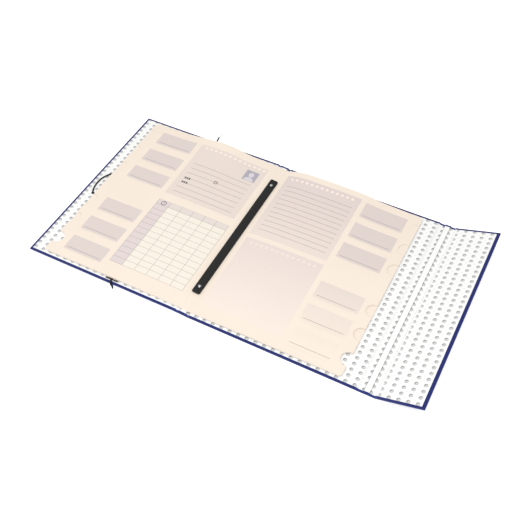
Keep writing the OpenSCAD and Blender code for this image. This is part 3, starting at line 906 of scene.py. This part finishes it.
class FILE_OT_endpapers(bpy.types.Operator):
    """Lines the inside of every board with printed endpaper"""
    bl_idname = "sorting_file.endpapers"
    bl_label = "Endpapers"

    def execute(self, context):
        case = context.scene.sorting_case
        edge, border = FAR_Y - case.border, case.border
        # a panel's endpaper stops where the groove's begins
        z, lap = PANEL_T - 0.03 * MM, 2.8 * MM
        middle, half, spine_half = (FORE.x + FLAP.x) / 2, FORE_BOARD / 2 - lap, SPINE_BOARD / 2 - lap
        sheets = (
            ("front", "front_cover", "front", front_place, FRONT_LOW.x + border, FRONT_HIGH.x - lap),
            ("back", "back_cover", "back", flat_place, BACK_LOW.x + lap, BACK_HIGH.x - lap),
            ("spine", "spine", "back", spine_place, -spine_half, spine_half),
            ("fore_edge", "fore_edge", "back", flat_place, middle - half, middle + half),
            ("flap", "flap", "flap", flap_place, HINGE_GAP + lap, flap_width() - case.flap_border),
        )
        for name, body, sheet, place, left, right in sheets:
            start, end = place(left, z), place(right, z)
            part = ribbon([start.lerp(end, i / 12) for i in range(13)], -edge, edge, ENDPAPER_T, rows=24)
            add_piece(f"{name}_endpaper", body, "lining", *part, [endpaper(case, sheet)], (f"{name}_lining",))
        return {"FINISHED"}


class FILE_OT_leaves(bpy.types.Operator):
    """Lays the twelve printed leaves, six on each cover, bulging softly from their creases"""
    bl_idname = "sorting_file.leaves"
    bl_label = "Divider Leaves"

    def execute(self, context):
        pages = context.scene.sorting_pages
        plain = finish("cream_card", plain_card, "#E9E2D9", "#F1EAE2")
        for side, make in (("left", left_print), ("right", right_print)):
            printed = finish(f"printed_card_{side}", make, pages)
            for k in range(1, SHEETS + 1):
                name = f"{side}_leaf_{k}"
                verts, faces, chosen = leaf_mesh(side, k, pages)
                page = add_piece(f"{side}_page_{k}", name, "divider_card", verts, faces, [printed, plain],
                                 (name,), chosen)
                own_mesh(page)
        return {"FINISHED"}


class FILE_OT_sheet_middles(bpy.types.Operator):
    """Runs the sheets from under the binding bar out to the leaves' creases"""
    bl_idname = "sorting_file.sheet_middles"
    bl_label = "Sheet Middles"

    def execute(self, context):
        pages = context.scene.sorting_pages
        cream = finish("cream_card_margin", plain_card, "#F0E1D1", pages.card)
        clamp_x, clear, steps = SPINE_BOARD / 2, 0.4 * MM, 10
        for side, sign, body, line in (("left", -1, "front_cover", FRONT), ("right", 1, "back_cover", SPINE)):
            parts = []
            for k in range(1, SHEETS + 1):
                low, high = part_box(f"{side}_leaf_{k}")
                crease_x = high.x - CARD_T / 2 if side == "left" else low.x + CARD_T / 2
                crease = Vector((crease_x, 0, low.z + CARD_T / 2))
                clamp = spine_place(sign * (clamp_x + 0.05 * MM), PANEL_T + (SHEETS - k + 0.5) * CARD_T)
                # the strip meets the leaf at the leaf's own slope
                bend = rise(side, 1 * MM, 0, k, pages) / MM * abs(crease.x - clamp.x)
                path = []
                for t in (i / steps for i in range(steps + 1)):
                    path.append(clamp.lerp(crease, t) + Vector((0, 0, bend * (t ** 3 - t ** 2))))
                path[-1] -= Vector((sign * 0.03 * MM, 0, 0))
                path = path if side == "right" else path[::-1]
                parts.append(ribbon(path, -LEAF_H / 2, LEAF_H / 2, CARD_T * 0.9))
            name = f"{side}_margin_cards"
            piece = add_piece(name, None, "divider_card", *join(parts), [cream], (f"{side}_margins",))
            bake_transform(piece)
        for k in range(1, SHEETS + 1):
            for slot in frame["nodes"][f"sheet_fold_{k}"].material_slots:
                slot.material = cream
        return {"FINISHED"}


def plate_outline(width, height, radius, steps=8):
    """A rectangle with round corners, as points round its edge."""
    points = []
    for corner, (sx, sy) in enumerate(((1, 1), (-1, 1), (-1, -1), (1, -1))):
        for i in range(steps + 1):
            a = math.pi / 2 * (corner + i / steps)
            points.append((sx * (width / 2 - radius) + radius * math.cos(a),
                           sy * (height / 2 - radius) + radius * math.sin(a)))
    return points


def rivet_pair(*shapes):
    """Shapes at both rivets' places, in the spine's section."""
    places = [Matrix.Translation((0, side * RIVET_Y, 0)) for side in (-1, 1)]
    return join([moved(shape, place) for place in places for shape in shapes])


class FILE_OT_binding_bar(bpy.types.Operator):
    """Makes the moulded bar that clamps the sheets, with rounded upper edges and rivet seats"""
    bl_idname = "sorting_file.binding_bar"
    bl_label = "Binding Bar"

    def execute(self, context):
        hardware = context.scene.sorting_hardware
        black = finish("moulded_polypropylene", moulded_plastic, hardware)
        low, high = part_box("binding_bar")
        fillet, lower_edge, corner = hardware.bar_fillet, 0.15 * MM, 2.5 * MM
        # inset and height of each outline up the bar, the last one its slightly crowned top
        levels = [(lower_edge, 0.0), (0.0, lower_edge)]
        for a in (math.pi / 2 * i / 5 for i in range(6)):
            levels.append((fillet * (1 - math.cos(a)), BAR_T - fillet + fillet * math.sin(a)))
        levels.append((1.9 * MM, BAR_T + 0.12 * MM))
        verts, faces = [], []
        for inset, z in levels:
            width, height = SPINE_BOARD - 2 * inset, high.y - low.y - 2 * inset
            outline = plate_outline(width, height, max(0.4 * MM, corner - inset))
            verts += [Vector((x, y, BAR_Z + z)) for x, y in outline]
        count = len(outline)
        for level in range(len(levels) - 1):
            for i in range(count):
                a, b = level * count + i, level * count + (i + 1) % count
                faces.append([a, b, b + count, a + count])
        faces += [list(range(count)), list(range(len(verts) - count, len(verts)))]
        seat = turned([(0, 0), (3.3, 0), (3.3, 0.1), (3.0, 0.22), (2.5, 0.16), (0, 0.16)])
        seats = rivet_pair(moved(seat, Matrix.Translation((0, 0, BAR_Z + BAR_T + 0.06 * MM))))
        part = moved(join([(verts, faces), seats]), spine_matrix())
        add_piece("bar", "spine", "bar_plastic", *part, [black], ("binding_bar",))
        return {"FINISHED"}


class FILE_OT_rivets(bpy.types.Operator):
    """Sets the two rivets: a domed head on the bar and a rolled burr outside the spine"""
    bl_idname = "sorting_file.rivets"
    bl_label = "Rivets"

    def execute(self, context):
        metal = tuple(context.scene.sorting_hardware.metal)
        nickel = finish("nickel_plate", plated_metal, metal, 0.16, 0.32)
        top = (BAR_Z + BAR_T) / MM + 0.2
        head = turned([(0, top - 3), (1.3, top - 3), (1.3, top), (2.1, top), (2.15, top + 0.12), (1.9, top + 0.38),
                       (1.4, top + 0.58), (0.8, top + 0.66), (0.5, top + 0.6), (0, top + 0.52)])
        burr = turned([(0, 0.3), (2.9, 0.2), (3.0, -0.1), (2.7, -0.4), (2.1, -0.48), (1.5, -0.3), (1.2, 0.05),
                       (0, 0.1)])
        part = moved(rivet_pair(head, burr), spine_matrix())
        add_piece("rivet_pair", "spine", "rivet_metal", *part, [nickel], ("rivets",))
        return {"FINISHED"}


def cord_place(u, v, z):
    """A point of the elastic's route: from the fore edge, the near edge and the outer face."""
    return Vector((FRONT_LOW.x + u * MM, -FAR_Y + v * MM, FRONT_LOW.z + z * MM))


CORD_ROUTE = [
    (126.4, 334, -1), (127.2, 329, -1), (128, 323, -1), (127.6, 317, -1), (122, 310, -1), (24, 186, -1),
    (20.6, 181.5, -0.9), (19.6, 180.2, -0.2), (19.5, 180, 0.8), (19.5, 179.9, 2.4), (19, 179, 3.1),
    (17.8, 177, 3.4), (14.6, 171, 3.4), (12.2, 164, 3.4), (11.5, 157, 3.4), (11.9, 149, 3.4), (13.8, 141, 3.4),
    (16, 136, 3.4), (17, 134, 3.1), (17.5, 133.1, 2.4), (17.5, 133, 0.8), (17.6, 132.8, -0.2),
    (18.5, 131.6, -0.9), (21.5, 128.4, -1), (137, 5.5, -1), (139.6, 2, -1), (141, -0.2, -0.8),
    (141.2, -1.1, 0.3), (141.2, -1.15, 1.9), (141, -0.2, 3.3), (140, 1.6, 3.6), (138.6, 3.9, 3.7), (138.6, 4.5, 3.7),
]
CORD_STOPS = ((19.4, 179.6), (17.4, 133.4))


class FILE_OT_elastic(bpy.types.Operator):
    """Threads the braided elastic through the front cover, with a stop at each hole"""
    bl_idname = "sorting_file.elastic"
    bl_label = "Elastic"

    def execute(self, context):
        hardware = context.scene.sorting_hardware
        black = finish("braided_polyester", braided_polyester, hardware)
        route = smooth_route([cord_place(*p) for p in CORD_ROUTE], 0.55 * MM)
        cord = braided_cord(route, hardware.cord_d / 2, hardware.strands)
        # a stitched stop stands round the cord where it comes through the cover
        stop = turned([(0, 0), (2.1, 0), (2.3, 0.25), (2.0, 0.6), (1.2, 0.8), (0, 0.8)], 20)
        stops = [moved(stop, Matrix.Translation(cord_place(u, v, PANEL_T / MM))) for u, v in CORD_STOPS]
        add_piece("elastic", "front_cover", "elastic", *join([cord] + stops), [black], ("elastic_cord",))
        return {"FINISHED"}


def turn(angle, axis):
    """A turn of that many degrees about an axis."""
    return Matrix.Rotation(math.radians(angle), 4, axis)


class FILE_OT_barbs(bpy.types.Operator):
    """Crimps a steel barb to each end of the elastic"""
    bl_idname = "sorting_file.barbs"
    bl_label = "Barbs"

    def execute(self, context):
        barb = tuple(context.scene.sorting_hardware.barb)
        steel = finish("drawn_steel", plated_metal, barb, 0.28, 0.45)
        dark = finish("blackened_steel", plated_metal, linear("#4A3728"), 0.4, 0.6)
        pin = turned([(0, 0), (0.85, 0.1), (0.9, 1.6), (0.6, 2.0), (0.55, 8.0), (0.8, 8.6), (0.85, 9.4), (0.4, 10),
                      (0, 10)], 16)
        far = Matrix.Translation(cord_place(126.4, 334.05, -1)) @ turn(-5, "Z") @ turn(-90, "X")
        add_piece("loose_barb", "front_cover", "barb_metal", *moved(pin, far), [steel], ("far_barb",))
        half = [(1.15, 1.8), (0.8, 2.2), (0.9, 9.2), (0.55, 9.9), (0, 10)]
        bar = turned([(r, -h) for r, h in reversed(half)] + half, 16)
        near = Matrix.Translation(cord_place(138.6, 5.4, PANEL_T / MM + 1.3)) @ turn(90, "Y")
        add_piece("cross_barb", "front_cover", "barb_metal", *moved(bar, near), [dark], ("near_barb",))
        return {"FINISHED"}


class FILE_OT_stage(bpy.types.Operator):
    """Sets the pale floor, the soft studio light and the camera"""
    bl_idname = "sorting_file.stage"
    bl_label = "Stage"

    def execute(self, context):
        scene = context.scene
        white = finish("studio_paper", studio_paper)
        floor_half, under = 4, 0.05 * MM
        mesh = bpy.data.meshes.new("floor")
        bm = bmesh.new()
        bmesh.ops.create_grid(bm, x_segments=24, y_segments=24, size=floor_half)
        bm.to_mesh(mesh)
        bm.free()
        mesh.materials.append(white)
        floor = bpy.data.objects.new("floor", mesh)
        floor.location.z = -under
        scene.collection.objects.link(floor)
        world = bpy.data.worlds.new("studio")
        world.use_nodes = True
        world.node_tree.nodes["Background"].inputs["Color"].default_value = (1, 1, 1, 1)
        world.node_tree.nodes["Background"].inputs["Strength"].default_value = 0.56
        scene.world = world
        for name, place, size, power in (("overhead", (0.15, -0.9, 1.6), 1.6, 22),
                                         ("window", (-1.7, 1.0, 1.4), 1.4, 7)):
            light = bpy.data.lights.new(name, "AREA")
            light.size = size
            light.energy = power
            lamp = bpy.data.objects.new(name, light)
            lamp.location = place
            lamp.rotation_euler = (-Vector(place)).to_track_quat("-Z", "Y").to_euler()
            scene.collection.objects.link(lamp)
        camera = bpy.data.cameras.new("camera")
        camera.sensor_width = 36
        camera.lens = 53.68
        eye = bpy.data.objects.new("camera", camera)
        eye.location = (0.2508, -0.6627, 0.8757)
        eye.rotation_euler = Vector((-0.287, 0.561, -0.7765)).to_track_quat("-Z", "Y").to_euler()
        scene.collection.objects.link(eye)
        scene.camera = eye
        scene.view_settings.view_transform = "Standard"
        return {"FINISHED"}


class FILE_PT_sidebar(bpy.types.Panel):
    """Lists the pieces of the sorting file"""
    bl_idname = "FILE_PT_sidebar"
    bl_label = "Sorting File"
    bl_space_type = "VIEW_3D"
    bl_region_type = "UI"
    bl_category = "Sorting File"

    def draw(self, context):
        for group in (context.scene.sorting_case, context.scene.sorting_pages, context.scene.sorting_hardware):
            box = self.layout.box()
            for key in group.__annotations__:
                box.prop(group, key)
        for step in STEPS:
            self.layout.operator(step.bl_idname)


SETTINGS = (("sorting_case", CaseSettings), ("sorting_pages", PageSettings), ("sorting_hardware", HardwareSettings))
STEPS = (FILE_OT_stage, FILE_OT_elastic, FILE_OT_barbs, FILE_OT_covering, FILE_OT_grooves, FILE_OT_endpapers,
         FILE_OT_leaves, FILE_OT_sheet_middles, FILE_OT_binding_bar, FILE_OT_rivets)


def register():
    for name, group in SETTINGS:
        bpy.utils.register_class(group)
        setattr(bpy.types.Scene, name, PointerProperty(type=group))
    for step in (*STEPS, FILE_PT_sidebar):
        bpy.utils.register_class(step)


def unregister():
    for step in (FILE_PT_sidebar, *reversed(STEPS)):
        bpy.utils.unregister_class(step)
    for name, group in reversed(SETTINGS):
        delattr(bpy.types.Scene, name)
        bpy.utils.unregister_class(group)


def main():
    register()
    for step in STEPS:
        group, name = step.bl_idname.split(".")
        getattr(getattr(bpy.ops, group), name)()


if __name__ == "__main__":
    main()
